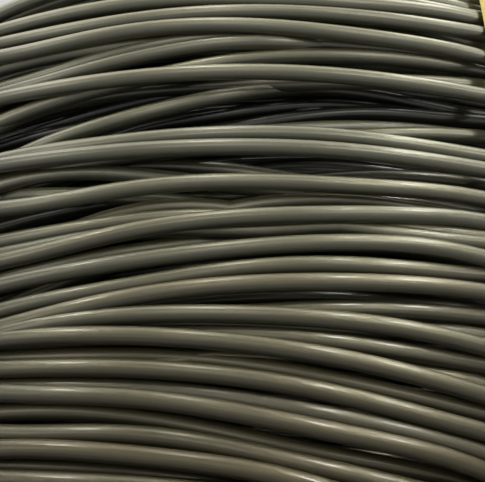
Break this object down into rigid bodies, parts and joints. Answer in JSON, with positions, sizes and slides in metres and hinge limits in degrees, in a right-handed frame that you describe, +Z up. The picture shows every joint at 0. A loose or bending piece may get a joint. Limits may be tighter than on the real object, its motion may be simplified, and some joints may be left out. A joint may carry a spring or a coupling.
{
  "type": "coil of cold heading wire",
  "caption": "Loosely wound coil of dark drawn steel wire with an open eye, standing on its end and bound by flat yellow bands.",
  "frame": {"origin": "on the floor under the coil, on the coil's axis", "axes": "+Z up along the coil's axis, through the eye; -Y points to where the picture is taken from"},
  "size_m": [1.1658, 1.166, 0.7036],
  "materials": {
    "wire": "satin, dark olive grey, drawn and phosphated",
    "band": "semi-gloss yellow strapping with an embossed face",
    "seal": "zinc coated, crimped"
  },
  "bodies": {
    "root": {"wire_coil": "wire", "band_1": "band", "band_2": "band", "band_3": "band", "band_4": "band", "seal_1": "seal", "seal_2": "seal", "seal_3": "seal", "seal_4": "seal"}
  },
  "joints": []
}
